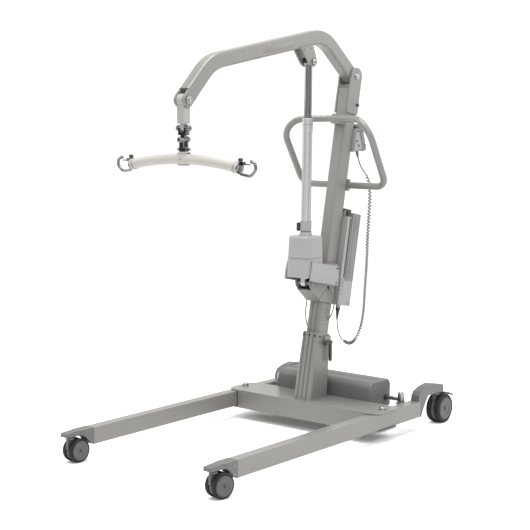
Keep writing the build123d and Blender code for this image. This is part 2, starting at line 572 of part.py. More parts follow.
def handset():
    body = block(-HANDSET_W / 2, HANDSET_W / 2, -HANDSET_T / 2, HANDSET_T / 2, -HANDSET_L, 0)
    body = fillet(body.edges().filter_by(Axis.Z), 7)
    for z in KEY_Z:
        body -= Pos(0, HANDSET_T / 2, z) * Rot(90, 0, 0) * Cylinder(KEY_R + GAP, 9)
    relief = Pos(LEAD_TOP_ROUTE[0][0] - HANDSET_AT[0], -8, -HANDSET_L - 12) * Cone(3.0, 6.0, 26)
    hook = block(-12, 12, -HANDSET_T / 2 - 0.2, HANDSET_T / 2 - 6, -1, 5)
    return handset_frame() * (body + relief + hook)


KEY_Z, KEY_R = (-28.0, -56.0), 8.0


def handset_key(z):
    key = Pos(0, HANDSET_T / 2 - 0.5, z) * Rot(90, 0, 0) * Cylinder(KEY_R, 5)
    key = fillet(key.edges().filter_by(GeomType.CIRCLE), 1.2)
    return handset_frame() * key


def cord_connector():
    """Plug and strain relief under the control box."""
    top = (35, *mast_point(BOX_NEAR + 16, BOX_FOOT - 9))
    low = LEAD_LOW_ROUTE[-1]
    body = Plane(origin=top, z_dir=Vector(*low) - Vector(*top))
    length = (Vector(*low) - Vector(*top)).length
    plug = body * Pos(0, 0, 5) * Cylinder(8, 10)
    return plug + body * Pos(0, 0, 10 + (length - 10) / 2) * Cone(6.5, 3.0, length - 10)


# ================================================================ actuator
ACT = Plane(origin=(0, *TAIL), x_dir=(1, 0, 0),
            z_dir=(0, ROD_PIN[0] - TAIL[0], ROD_PIN[1] - TAIL[1]))
ACT_LENGTH = hypot(ROD_PIN[0] - TAIL[0], ROD_PIN[1] - TAIL[1])


def actuator_housing():
    """Motor housing shell round the foot of the tube, with a conical neck."""
    def skin(shrink, z0, z1):
        foot = RectangleRounded(HOUSING_SIZE[0] - 2 * shrink, HOUSING_SIZE[1] - 2 * shrink, 30 - shrink)
        head = RectangleRounded(HOUSING_TOP_SIZE[0] - 2 * shrink, HOUSING_TOP_SIZE[1] - 2 * shrink,
                                30 - shrink)
        return loft([Plane.XY.offset(z0) * foot, Plane.XY.offset(z1) * head])
    outer = skin(0, HOUSING_FOOT, HOUSING_TOP)
    outer = fillet(outer.faces().sort_by(Axis.Z)[-1].edges(), 7)
    shell = outer - skin(HOUSING_WALL, HOUSING_FOOT + HOUSING_WALL, HOUSING_TOP - HOUSING_WALL - 1)
    neck_top = HOUSING_TOP + 48
    neck = Pos(0, 0, HOUSING_TOP + 5) * Cone(24, 19, 14)
    neck += Pos(0, 0, HOUSING_TOP + 30) * Cylinder(19, 36)
    shell += neck
    shell -= Pos(0, 0, HOUSING_TOP) * Cylinder(TUBE_R, 140)
    shell -= Pos(0, 0, HOUSING_FOOT) * Cylinder(TUBE_R, 20)
    return ACT * shell


def actuator_tube():
    """Guide tube, collar at its top, and the tail lug that hangs on the bracket pin."""
    tube = Pos(0, 0, (14 + TUBE_END) / 2) * Cylinder(TUBE_R, TUBE_END - 14)
    tube += Pos(0, 0, TUBE_END + ACT_COLLAR_LENGTH / 2) * Cylinder(ACT_COLLAR_R, ACT_COLLAR_LENGTH)
    bore_foot = 60.0
    tube -= Pos(0, 0, (bore_foot + TUBE_END) / 2) * Cylinder(TUBE_BORE, TUBE_END - bore_foot)
    tube -= Pos(0, 0, TUBE_END + 20) * Cylinder(ROD_R + 0.08, 120)
    lug = block(-9, 9, -12, 12, 0, 18) + Rot(0, 90, 0) * Cylinder(12, 18)
    lug -= Rot(0, 90, 0) * Cylinder(TAIL_PIN_R + RUN, 30)
    return ACT * (tube + lug)


ROD_FOOT = 322.0


def actuator_rod():
    eye_r, eye_half = 15.0, 12.0
    rod = Pos(0, 0, (ROD_FOOT + ACT_LENGTH - 8) / 2) * Cylinder(ROD_R, ACT_LENGTH - 8 - ROD_FOOT)
    rod += Pos(0, 0, ACT_LENGTH) * Rot(0, 90, 0) * Cylinder(eye_r, 2 * eye_half)
    rod -= Pos(0, 0, ACT_LENGTH) * Rot(0, 90, 0) * Cylinder(ROD_STUB_R, 60)
    return ACT * rod


def release_catch():
    """Manual lowering catch on the housing's neck."""
    z0, z1 = HOUSING_TOP + 16, HOUSING_TOP + 44
    catch = block(-30, -19 - GAP, -9, 9, z0, z1)
    catch = fillet(catch.edges().filter_by(Axis.Y), 3)
    return ACT * Rot(0, 0, 25) * catch


# ================================================================ boom
def boom_line():
    tip, bend0, bend1, pivot = BOOM_TIP, BOOM_FRONT_BEND, BOOM_REAR_BEND, BOOM_PIVOT
    return tip, bend0, bend1, pivot


def boom_solid(shrink, trim_front, trim_rear):
    """Boom tube solid, inset by shrink and cut short at each end."""
    tip, bend0, bend1, pivot = [Vector(0, *p) for p in boom_line()]
    start = tip + (bend0 - tip).normalized() * trim_front
    end = pivot + (bend1 - pivot).normalized() * trim_rear
    path = FilletPolyline(start, bend0, bend1, end, radius=[FRONT_BEND_R, REAR_BEND_R])
    section = RectangleRounded(BOOM_W - 2 * shrink, BOOM_H - 2 * shrink, BOOM_R - shrink)
    plane = Plane(origin=path @ 0, x_dir=(1, 0, 0), z_dir=path % 0)
    return sweep(plane * section, path=path)


def boom_tube():
    """Bent box tube with the rear knuckle, the front fork cheeks and the actuator bracket."""
    half = BOOM_W / 2
    boom = boom_solid(0, 27, 4) - boom_solid(BOOM_WALL, 36, 30)
    boom += bar(KNUCKLE_R, (-half, *BOOM_PIVOT), (half, *BOOM_PIVOT))
    boom -= bar(BOOM_PIN_R + RUN, (-60, *BOOM_PIVOT), (60, *BOOM_PIVOT))
    tip, bend = Vector(0, *BOOM_TIP), Vector(0, *BOOM_FRONT_BEND)
    along = (bend - tip).normalized()
    frame = Plane(origin=tip, x_dir=(1, 0, 0), z_dir=along)
    for sign in (-1, 1):
        cheek = block(sign * (half - TIP_CHEEK), sign * half, -TIP_R, TIP_R, 0, 34)
        cheek += Rot(0, 90, 0) * Pos(0, 0, sign * (half - TIP_CHEEK / 2)) * Cylinder(TIP_R, TIP_CHEEK)
        boom += frame * cheek
    boom -= bar(TIP_PIN_R, (-60, *BOOM_TIP), (60, *BOOM_TIP))
    y, z = ROD_PIN
    outline = [(y - 66, z + 50), (y - 5, z + 62), (y + 15, z + 12), (y + 16, z - 4), (y + 6, z - 15),
               (y - 8, z - 15), (y - 23, z - 5)]
    for sign in (-1, 1):
        boom += slab(outline, sign * EAR_INNER, sign * half)
    return boom - bar(ROD_STUB_R, (-60, y, z), (60, y, z))


def boom_pins():
    """Hanger pin at the boom tip, and the two stub pins in the actuator bracket's ears."""
    half = BOOM_W / 2
    tip = bar(TIP_PIN_R, (-half, *BOOM_TIP), (half, *BOOM_TIP))
    pins = []
    for sign in (-1, 1):
        tip += bar(13.0, (sign * half, *BOOM_TIP), (sign * (half + 3.5), *BOOM_TIP))
        stub = bar(ROD_STUB_R, (sign * (EAR_INNER - 1.4), *ROD_PIN), (sign * half, *ROD_PIN))
        pins.append(stub + dome(11.0, 9.5, (sign * half, *ROD_PIN), (sign, 0, 0)))
    return [tip] + pins


# ================================================================ hanger and sling bar
HANG_Y = BOOM_TIP[0]
TONGUE = BOOM_W / 2 - TIP_CHEEK - GAP


def hanger_link():
    """Column that hangs from the boom tip, with a tongue for the cross pin."""
    z = BOOM_TIP[1]
    link = bar(TIP_R - 2, (-TONGUE, HANG_Y, z), (TONGUE, HANG_Y, z))
    link += block(-TONGUE, TONGUE, HANG_Y - 15, HANG_Y + 15, z - 28, z)
    column = block(-LINK_W / 2, LINK_W / 2, HANG_Y - LINK_W / 2, HANG_Y + LINK_W / 2,
                   CROSS_PIN_Z + 13, z - 24)
    link += fillet(column.edges().filter_by(Axis.Z), 4)
    link += block(-7, 7, HANG_Y - 8, HANG_Y + 8, CROSS_PIN_Z, CROSS_PIN_Z + 14)
    link += bar(8, (-7, HANG_Y, CROSS_PIN_Z), (7, HANG_Y, CROSS_PIN_Z))
    link -= bar(TIP_PIN_R + RUN, (-60, HANG_Y, z), (60, HANG_Y, z))
    return link - bar(CROSS_R + RUN, (-20, HANG_Y, CROSS_PIN_Z), (20, HANG_Y, CROSS_PIN_Z))


CHEEK = 16.0


def swivel_block():
    """Universal-joint body: fork and cross pin above, tongue bored for the side pin below."""
    z = CROSS_PIN_Z
    body = block(-CHEEK, CHEEK, HANG_Y - 8, HANG_Y + 8, z - 21, z - 10)
    for sign in (-1, 1):
        cheek = block(sign * (7 + GAP), sign * CHEEK, HANG_Y - 8, HANG_Y + 8, z - 12, z)
        cheek += bar(8, (sign * (7 + GAP), HANG_Y, z), (sign * CHEEK, HANG_Y, z))
        body += cheek + dome(9.5, 12.0, (sign * CHEEK, HANG_Y, z), (sign, 0, 0))
    body += bar(CROSS_R, (-CHEEK, HANG_Y, z), (CHEEK, HANG_Y, z))
    low = SIDE_PIN_Z
    body += block(-8, 8, HANG_Y - 6, HANG_Y + 6, low, z - 20)
    body += bar(8, (0, HANG_Y - 6, low), (0, HANG_Y + 6, low))
    return body - bar(CROSS_R + RUN, (0, HANG_Y - 20, low), (0, HANG_Y + 20, low))


BAR_COLLAR_R, BAR_COLLAR_TOP, BAR_COLLAR_LOW = 19.0, 962.0, 921.0


def clevis():
    """Side-pin clevis with its dome caps, quick-release pin and the swivel spindle under it."""
    z, foot = SIDE_PIN_Z, BAR_COLLAR_TOP + 1.0
    body = block(-8, 8, HANG_Y - 12, HANG_Y + 12, foot, foot + 14)
    for sign in (-1, 1):
        y0, y1 = HANG_Y + sign * (6 + GAP), HANG_Y + sign * 12
        body += block(-8, 8, y0, y1, foot + 10, z) + bar(8, (0, y0, z), (0, y1, z))
        body += dome(9.5, 11.5, (0, y1, z), (0, sign, 0))
    body += bar(CROSS_R, (0, HANG_Y - 12, z), (0, HANG_Y + 12, z))
    spindle_foot = BAR_COLLAR_LOW + 12
    body += bar(SWIVEL_R, (0, HANG_Y, spindle_foot), (0, HANG_Y, foot + 1))
    body += bar(2.6, (-22, HANG_Y, foot + 7), (20, HANG_Y, foot + 7))
    knob = fillet(bar(4.8, (-24, HANG_Y, foot + 7), (-15, HANG_Y, foot + 7)).edges(), 2)
    return body + knob + bar(4.6, (14, HANG_Y, foot + 7), (23, HANG_Y, foot + 7))


def sling_bar():
    """Padded bar, bowed up in the middle, with the collar that turns on the swivel spindle."""
    ends = [(-BAR_REACH, HANG_Y, BAR_Z - BAR_SAG), (0, HANG_Y, BAR_Z), (BAR_REACH, HANG_Y, BAR_Z - BAR_SAG)]
    path = ThreePointArc(*ends)
    tube = sweep(Plane(origin=path @ 0, z_dir=path % 0) * Circle(BAR_R), path=path)
    collar = bar(BAR_COLLAR_R, (0, HANG_Y, BAR_COLLAR_LOW), (0, HANG_Y, BAR_COLLAR_TOP))
    collar = fillet(collar.edges().filter_by(GeomType.CIRCLE), 2.5)
    spindle_foot = BAR_COLLAR_LOW + 11
    bored = tube + collar - bar(SWIVEL_R + RUN, (0, HANG_Y, spindle_foot), (0, HANG_Y, BAR_COLLAR_TOP + 2))
    for hook in both_sides(sling_hook()):
        bored -= hook
    return bored


def sling_hook():
    """Round-wire hook, open at the top, with ears for its gate, on the right end of the bar."""
    x, z = BAR_REACH, BAR_Z - BAR_SAG
    points = [(x + 5, HANG_Y, z + 19), (x + 2, HANG_Y, z - 17), (x + 42, HANG_Y, z - 23),
              (x + 64, HANG_Y, z - 4), (x + 60, HANG_Y, z + 15), (x + 47, HANG_Y, z + 20)]
    path = FilletPolyline(*points, radius=[9, 18, 14, 7])
    hook = sweep(Plane(origin=path @ 0, z_dir=path % 0) * Circle(HOOK_WIRE), path=path)
    hook += Pos(*points[-1]) * Sphere(6.0)
    hook += bar(6.4, (x + 5, HANG_Y, z + 15), (x + 5, HANG_Y, z + 24))
    for sign in (-1, 1):
        inner, outer = HANG_Y + sign * (GATE_HALF + GAP), HANG_Y + sign * (GATE_HALF + 2.2)
        hook += block(x + 5, x + GATE_X + 3.2, inner, outer, z + 8.5, z + 18.5)
    hook += bar(GATE_PIN_R, (x + GATE_X, HANG_Y - GATE_HALF - 1, z + 12),
                (x + GATE_X, HANG_Y + GATE_HALF + 1, z + 12))
    return hook + bar(BAR_R + 0.6, (x, HANG_Y, z), (x + 4, HANG_Y, z - 0.8))


GATE_X, GATE_HALF, GATE_PIN_R = 16.5, 4.0, 1.6


def hook_latch():
    """Sprung wire gate that closes the right hook's mouth."""
    x, z = BAR_REACH, BAR_Z - BAR_SAG
    gate = bar(2.2, (x + GATE_X, HANG_Y, z + 12), (x + 41, HANG_Y, z + 11))
    hub = bar(3.5, (x + GATE_X, HANG_Y - GATE_HALF, z + 12), (x + GATE_X, HANG_Y + GATE_HALF, z + 12))
    bore = bar(GATE_PIN_R + RUN, (x + GATE_X, HANG_Y - 9, z + 12), (x + GATE_X, HANG_Y + 9, z + 12))
    return gate + hub - bore


# ================================================================ service cables on the mast
CABLE_R = 2.2


def mast_cables():
    """Two thin service cables that bow out from the bracket and run back to the column."""
    side = COLUMN_W / 2
    left = [(-side - BRACKET_T, 255, 453), (-side - 11, 254, 434), (-side - 16, 254, 404),
            (-side - 15, 253, 372), (-side - 8, 252, 350), (-side, 252, 338)]
    right = [(side + BRACKET_T, 283, 481), (side + 13, 290, 470), (side + 16, 300, 445),
             (side + 15, 303, 414), (side + 9, 297, 386), (side, 288, 368)]
    return [cord("mast cable", left, CABLE_R), cord("mast cable", right, CABLE_R)]


# ================================================================ write the parts
def solids(*shapes):
    """Separate solids of one node."""
    found = []
    for shape in shapes:
        found += list(shape.solids())
    return Compound(children=found) if len(found) > 1 else found[0]


def main():
    parts = {
        "cross_beam": cross_beam(),
        "leg_pivot_bolts": solids(*both_sides(leg_pivot_bolt())),
        "base_cover": base_cover(),
        "spread_motor": spread_motor(),
        "mast_socket": mast_socket(),
        "clamp_lever": clamp_lever(),
        "lower_column": lower_column(),
        "upper_mast": upper_mast(),
        "boom_pivot_pin": boom_pivot_pin(),
        "actuator_bracket": actuator_bracket(),
        "push_handle": push_handle(),
        "handle_clamps": solids(*handle_clamps()),
        "mast_shroud": mast_shroud(),
        "control_box": control_box(),
        "emergency_stop": emergency_stop(),
        "battery_pack": battery_pack(),
        "handset_cradle": handset_cradle(),
        "handset": handset(),
        "handset_key_up": handset_key(KEY_Z[0]),
        "handset_key_down": handset_key(KEY_Z[1]),
        "cord_connector": cord_connector(),
        "cord_upper_lead": cord("upper lead", LEAD_TOP_ROUTE, LEAD_R),
        "cord_coil": cord("coil", COIL_ROUTE, COIL_R),
        "cord_lower_lead": cord("lower lead", LEAD_LOW_ROUTE, LEAD_R),
        "mast_cables": solids(*mast_cables()),
        "actuator_housing": actuator_housing(),
        "actuator_tube": actuator_tube(),
        "actuator_rod": actuator_rod(),
        "release_catch": release_catch(),
        "boom_tube": boom_tube(),
        "boom_pins": solids(*boom_pins()),
        "hanger_link": hanger_link(),
        "swivel_block": swivel_block(),
        "clevis": clevis(),
        "sling_bar": sling_bar(),
        "sling_hooks": solids(*both_sides(sling_hook())),
    }
    for side, shape in zip(("right", "left"), both_sides(leg_tube())):
        parts["leg_tube_" + side] = shape
    for side, shape in zip(("right", "left"), both_sides(front_bracket())):
        parts["front_bracket_" + side] = shape
    for side, shape in zip(("right", "left"), both_sides(rear_arm())):
        parts["rear_arm_" + side] = shape
    for side, shape in zip(("right", "left"), both_sides(spreader_rod())):
        parts["spreader_rod_" + side] = shape
    for side, shape in zip(("right", "left"), both_sides(hook_latch())):
        parts["hook_latch_" + side] = shape
    front_y, rear_y = LEG_FRONT - FRONT_REACH, LEG_REAR + REAR_REACH
    for side, sign in (("right", 1), ("left", -1)):
        places = (("front", FRONT_WHEEL, FRONT_UNDER, FRONT_RISE, LEG_X, front_y, FRONT_TURN[side]),
                  ("rear", REAR_WHEEL, REAR_UNDER, REAR_RISE, LEG_X + ARM_OFFSET, rear_y, 0.0))
        for end, wheel, under, rise, x, y, turn in places:
            place = Pos(sign * x, y, 0) * Rot(0, 0, -turn)
            web, tyres, hubs, pedal = caster(wheel, under, rise, end == "rear")
            parts["caster_frame_%s_%s" % (end, side)] = place * web
            parts["caster_tyres_%s_%s" % (end, side)] = solids(*[place * tyre for tyre in tyres])
            parts["caster_hubs_%s_%s" % (end, side)] = place * hubs
            if pedal is not None:
                parts["brake_pedal_" + side] = place * pedal
    for name, shape in parts.items():
        export_step(shape, "parts/%s.step" % name)
    print(len(parts), "parts written")


main()
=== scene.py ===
import json
import math
import random

import bpy
from mathutils import Matrix, Vector


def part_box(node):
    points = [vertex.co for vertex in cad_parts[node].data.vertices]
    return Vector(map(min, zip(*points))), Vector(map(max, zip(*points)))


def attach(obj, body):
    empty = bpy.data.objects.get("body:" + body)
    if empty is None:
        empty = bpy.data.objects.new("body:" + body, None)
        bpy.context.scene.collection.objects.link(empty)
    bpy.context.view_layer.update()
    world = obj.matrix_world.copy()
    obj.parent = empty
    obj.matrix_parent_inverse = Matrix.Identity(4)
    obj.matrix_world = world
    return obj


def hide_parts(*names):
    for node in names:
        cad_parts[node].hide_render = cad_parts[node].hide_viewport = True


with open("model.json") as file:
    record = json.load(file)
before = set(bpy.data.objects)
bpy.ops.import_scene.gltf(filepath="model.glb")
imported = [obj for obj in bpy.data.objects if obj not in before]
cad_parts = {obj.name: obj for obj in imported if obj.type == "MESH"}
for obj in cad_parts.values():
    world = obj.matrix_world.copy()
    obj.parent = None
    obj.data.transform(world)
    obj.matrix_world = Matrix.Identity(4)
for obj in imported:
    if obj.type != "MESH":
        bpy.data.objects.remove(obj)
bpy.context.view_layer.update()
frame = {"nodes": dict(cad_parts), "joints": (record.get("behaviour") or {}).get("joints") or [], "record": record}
random.seed(7)

LEAN = math.radians(11.5)
TOP = Vector((0.0, 0.4465, 1.2))          # boom pivot at the top of the mast
BACKWARDS = (0, math.cos(LEAN), -math.sin(LEAN))     # square to the mast, towards the rear
FORWARDS = (0, -math.cos(LEAN), math.sin(LEAN))
SIDES = (("right", 1), ("left", -1))
LEG_X, LEG_HALF = 0.2965, 0.020           # leg's centre line and half its width
PIVOT_Y = 0.231
ROD_Y, ROD_Z = 0.3885, 0.106              # centre line of the spreader rods
HANG_Y, HANG_Z = -0.400, 1.116            # hanger pivot at the boom's tip
EYE_Y, EYE_Z = 0.210, 1.2435              # upper eye of the actuator's rod
HANDSET_TILT = math.radians(17.0)
HANDSET_TOP = Vector((0.012, 0.4615, 1.030))


# ------------------------------------------------------------------ camera, light and floor
def set_stage():
    cam = bpy.data.objects.new("camera", bpy.data.cameras.new("camera"))
    bpy.context.collection.objects.link(cam)
    cam.location = (2.66819, -3.25307, 1.09744)
    cam.rotation_euler = (math.radians(83.04), 0.0, math.radians(39.52))
    cam.data.sensor_width = 36.0
    cam.data.lens = 88.27
    bpy.context.scene.camera = cam

    bpy.ops.mesh.primitive_plane_add(size=30.0, location=(0, 0, -0.0006))
    floor = bpy.context.object
    floor.name = "floor"
    floor.data.materials.append(plain("floor_paper", (0.98, 0.98, 0.98), 0.8))

    world = bpy.data.worlds.new("studio")
    bpy.context.scene.world = world
    world.use_nodes = True
    world.node_tree.nodes["Background"].inputs[0].default_value = (1.0, 1.0, 1.0, 1.0)
    world.node_tree.nodes["Background"].inputs[1].default_value = 1.15
    for name, x, y, width in (("card_left", -2.4, -3.6, 1.1), ("card_right", 4.2, 0.4, 1.3)):
        bpy.ops.mesh.primitive_plane_add(size=1.0, location=(x, y, 1.4))
        card = bpy.context.object
        card.name = name
        card.scale = (width, 2.8, 1.0)
        card.rotation_euler = Vector((-x, -y, 0)).to_track_quat("Z", "Y").to_euler()
        card.data.materials.append(plain(name, (0.015, 0.015, 0.015), 0.9))
        card.visible_camera = False
    bpy.context.scene.view_settings.view_transform = "Standard"
    for name, place, size, power in (("key", (2.9, -1.2, 2.9), 1.8, 56.0),
                                     ("fill", (-3.2, -1.6, 2.2), 2.2, 38.0),
                                     ("top", (0.0, -0.2, 3.8), 2.2, 130.0),
                                     ("rim", (2.2, 2.8, 2.0), 1.8, 20.0)):
        lamp = bpy.data.objects.new(name, bpy.data.lights.new(name, "AREA"))
        bpy.context.collection.objects.link(lamp)
        lamp.data.size = size
        lamp.data.energy = power
        lamp.location = place
        aim = Vector((0.0, 0.0, 0.65)) - Vector(place)
        lamp.rotation_euler = aim.to_track_quat("-Z", "Y").to_euler()


# ------------------------------------------------------------------ materials
def base_material(name):
    mat = bpy.data.materials.new(name)
    mat.use_nodes = True
    return mat, mat.node_tree.nodes, mat.node_tree.links, mat.node_tree.nodes["Principled BSDF"]


def plain(name, color, rough):
    """Paper-like surface with a faint mottle."""
    mat, nodes, links, shader = base_material(name)
    noise = nodes.new("ShaderNodeTexNoise")
    noise.inputs["Scale"].default_value = 6.0
    ramp = nodes.new("ShaderNodeValToRGB")
    ramp.color_ramp.elements[0].color = (*[c * 0.985 for c in color], 1)
    ramp.color_ramp.elements[1].color = (*color, 1)
    links.new(noise.outputs["Fac"], ramp.inputs["Fac"])
    links.new(ramp.outputs["Color"], shader.inputs["Base Color"])
    shader.inputs["Roughness"].default_value = rough
    return mat


def tint(color, k):
    return (*[min(1.0, max(0.0, c * k)) for c in color], 1.0)


def surface(name, color, rough, metallic=0.0, grain=900.0, relief=0.05, mottle=0.05, spread=0.06,
            wear=0.0, stretch=(1, 1, 1), coat=0.0, spec=0.5, painted_top_light=0.0):
    """Procedural finish: slow mottle in colour, uneven roughness, fine grain bump, and painted top light (colour
    made lighter on faces that point up).
    """
    mat, nodes, links, shader = base_material(name)
    coords = nodes.new("ShaderNodeTexCoord")
    place = nodes.new("ShaderNodeMapping")
    place.inputs["Scale"].default_value = stretch
    links.new(coords.outputs["Object"], place.inputs["Vector"])

    slow = nodes.new("ShaderNodeTexNoise")
    slow.inputs["Scale"].default_value = 9.0
    slow.inputs["Detail"].default_value = 6.0
    slow.inputs["Roughness"].default_value = 0.62
    links.new(place.outputs["Vector"], slow.inputs["Vector"])
    ramp = nodes.new("ShaderNodeValToRGB")
    ramp.color_ramp.elements[0].position = 0.3
    ramp.color_ramp.elements[1].position = 0.72
    ramp.color_ramp.elements[0].color = tint(color, 1.0 - mottle)
    ramp.color_ramp.elements[1].color = tint(color, 1.0 + mottle * 0.6)
    links.new(slow.outputs["Fac"], ramp.inputs["Fac"])
    tone = ramp.outputs["Color"]

    fine = nodes.new("ShaderNodeTexNoise")
    fine.inputs["Scale"].default_value = grain
    fine.inputs["Detail"].default_value = 4.0
    links.new(place.outputs["Vector"], fine.inputs["Vector"])

    if wear:
        scuff = nodes.new("ShaderNodeTexNoise")
        scuff.inputs["Scale"].default_value = 55.0
        scuff.inputs["Detail"].default_value = 8.0
        scuff.inputs["Roughness"].default_value = 0.75
        links.new(coords.outputs["Object"], scuff.inputs["Vector"])
        mask = nodes.new("ShaderNodeMapRange")
        mask.inputs["From Min"].default_value = 0.63
        mask.inputs["From Max"].default_value = 0.72
        mask.inputs["To Max"].default_value = wear
        links.new(scuff.outputs["Fac"], mask.inputs["Value"])
        mix = nodes.new("ShaderNodeMix")
        mix.data_type = "RGBA"
        mix.inputs["B"].default_value = tint(color, 0.72)
        links.new(mask.outputs["Result"], mix.inputs["Factor"])
        links.new(tone, mix.inputs["A"])
        tone = mix.outputs["Result"]

    # painted top light: faces that point up get a lighter tint of the colour, as if lit from above
    if painted_top_light:
        geometry = nodes.new("ShaderNodeNewGeometry")
        split = nodes.new("ShaderNodeSeparateXYZ")
        links.new(geometry.outputs["Normal"], split.inputs["Vector"])
        up = nodes.new("ShaderNodeMapRange")
        up.inputs["From Min"].default_value = 0.35
        up.inputs["From Max"].default_value = 1.0
        up.inputs["To Max"].default_value = painted_top_light
        links.new(split.outputs["Z"], up.inputs["Value"])
        # this lighter mix laid over faces that point up is painted top light
        cover = nodes.new("ShaderNodeMix")
        cover.data_type = "RGBA"
        cover.inputs["B"].default_value = tint(color, 1.18)
        links.new(up.outputs["Result"], cover.inputs["Factor"])
        links.new(tone, cover.inputs["A"])
        tone = cover.outputs["Result"]

    links.new(tone, shader.inputs["Base Color"])
    gloss = nodes.new("ShaderNodeMapRange")
    gloss.inputs["To Min"].default_value = max(0.02, rough - spread)
    gloss.inputs["To Max"].default_value = min(1.0, rough + spread)
    links.new(slow.outputs["Fac"], gloss.inputs["Value"])
    links.new(gloss.outputs["Result"], shader.inputs["Roughness"])
    bump = nodes.new("ShaderNodeBump")
    bump.inputs["Strength"].default_value = relief
    bump.inputs["Distance"].default_value = 0.0006
    links.new(fine.outputs["Fac"], bump.inputs["Height"])
    links.new(bump.outputs["Normal"], shader.inputs["Normal"])
    shader.inputs["Metallic"].default_value = metallic
    shader.inputs["Coat Weight"].default_value = coat
    shader.inputs["Coat Roughness"].default_value = 0.25
    shader.inputs["Specular IOR Level"].default_value = spec
    return mat


MATERIALS = {
    # frame_paint carries painted top light on faces that point up
    "frame_paint": surface("frame_paint", (0.146, 0.142, 0.131), 0.36, grain=1300, relief=0.10, mottle=0.035,
                           wear=0.25, coat=0.15, painted_top_light=0.30),
    "caster_casting": surface("caster_casting", (0.078, 0.077, 0.075), 0.42, grain=1100, relief=0.16,
                              mottle=0.06, wear=0.35, coat=0.1),
    "link_paint": surface("link_paint", (0.26, 0.252, 0.236), 0.34, grain=1300, relief=0.10, mottle=0.03,
                          wear=0.2, coat=0.15),
    "chromed_steel": surface("chromed_steel", (0.17, 0.17, 0.173), 0.09, metallic=1.0, grain=2200,
                             relief=0.03, mottle=0.03, spread=0.04),
    "zinc_steel": surface("zinc_steel", (0.28, 0.28, 0.275), 0.26, metallic=1.0, grain=1500, relief=0.10,
                          mottle=0.07),
    "tube_alloy": surface("tube_alloy", (0.40, 0.40, 0.39), 0.30, metallic=0.85, grain=700, relief=0.08,
                          mottle=0.05, stretch=(1, 1, 0.06)),
    "tyre_rubber": surface("tyre_rubber", (0.007, 0.007, 0.008), 0.66, grain=1500, relief=0.30, mottle=0.25,
                           wear=0.3, spec=0.28),
    "hub_plastic": surface("hub_plastic", (0.052, 0.053, 0.054), 0.44, grain=1700, relief=0.14, mottle=0.05),
    "housing_plastic": surface("housing_plastic", (0.225, 0.225, 0.221), 0.46, grain=2000, relief=0.18,
                               mottle=0.03),
    # cover_plastic carries painted top light on faces that point up
    "cover_plastic": surface("cover_plastic", (0.102, 0.101, 0.099), 0.48, grain=1900, relief=0.22,
                             mottle=0.05, painted_top_light=0.35),
    "box_plastic": surface("box_plastic", (0.145, 0.147, 0.146), 0.5, grain=1900, relief=0.22, mottle=0.05),
    "black_plastic": surface("black_plastic", (0.012, 0.012, 0.013), 0.42, grain=1800, relief=0.2,
                             mottle=0.15),
    "red_plastic": surface("red_plastic", (0.36, 0.015, 0.010), 0.25, grain=1500, relief=0.05, mottle=0.08),
    "key_plastic": surface("key_plastic", (0.06, 0.12, 0.22), 0.4, grain=1500, relief=0.1, mottle=0.08),
    "bar_foam": surface("bar_foam", (0.33, 0.315, 0.295), 0.55, grain=1600, relief=0.30, mottle=0.04,
                        wear=0.15),
    "cord_plastic": surface("cord_plastic", (0.11, 0.11, 0.109), 0.42, grain=1500, relief=0.08, mottle=0.05),
}
SLOTS = {row["node"]: row["material_slot"] for row in frame["record"]["subparts"]}


def dress(obj, slot):
    obj.data.materials.clear()
    obj.data.materials.append(MATERIALS[slot])
    return obj


def dress_nodes():
    for node, obj in frame["nodes"].items():
        finish = MATERIALS[SLOTS[node]]
        for place in obj.material_slots:
            place.material = finish
        if not obj.material_slots:
            obj.data.materials.append(finish)


# ------------------------------------------------------------------ piece helpers
def piece(name, mesh_or_curve, slot, body):
    obj = bpy.data.objects.new(name, mesh_or_curve)
    bpy.context.collection.objects.link(obj)
    dress(obj, slot)
    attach(obj, body)
    return obj


def lathe(name, profile, origin, axis, slot, body, turns=40):
    """Turned piece: profile is a list of (radius, height) along the axis."""
    frame_m = Vector(axis).normalized().to_track_quat("Z", "Y").to_matrix().to_4x4()
    frame_m.translation = Vector(origin)
    verts, faces = [], []
    for radius, height in profile:
        for k in range(turns):
            a = 2 * math.pi * k / turns
            verts.append(frame_m @ Vector((radius * math.cos(a), radius * math.sin(a), height)))
    for row in range(len(profile) - 1):
        for k in range(turns):
            a, b = row * turns + k, row * turns + (k + 1) % turns
            faces.append((a, b, b + turns, a + turns))
    mesh = bpy.data.meshes.new(name)
    mesh.from_pydata(verts, [], faces)
    for poly in mesh.polygons:
        poly.use_smooth = True
    mesh.update()
    obj = piece(name, mesh, slot, body)
    bpy.context.view_layer.update()
    return obj


def rounded_box(name, size, origin, turn, slot, body, bevel=0.0015):
    """Bevelled box, its matrix made from an origin and a rotation matrix."""
    bpy.ops.mesh.primitive_cube_add(size=1.0)
    obj = bpy.context.object
    obj.name = name
    obj.scale = size
    bpy.ops.object.transform_apply(location=False, rotation=False, scale=True)
    edge = obj.modifiers.new("bevel", "BEVEL")
    edge.width = bevel
    edge.segments = 3
    bpy.ops.object.modifier_apply(modifier="bevel")
    bpy.ops.object.shade_smooth()
    place = turn.to_4x4()
    place.translation = Vector(origin)
    obj.data.transform(place)
    dress(obj, slot)
    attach(obj, body)
    return obj


def tube(name, points, radius, slot, body, smooth=True):
    """Tube along points; a NURBS line when smooth."""
    curve = bpy.data.curves.new(name, "CURVE")
    curve.dimensions = "3D"
    curve.bevel_depth = radius
    curve.bevel_resolution = 6
    curve.use_fill_caps = True
    line = curve.splines.new("NURBS")
    line.points.add(len(points) - 1)
    for k, p in enumerate(points):
        line.points[k].co = (*p, 1.0)
    line.order_u = 3 if smooth else 2
    line.use_endpoint_u = True
    return piece(name, curve, slot, body)


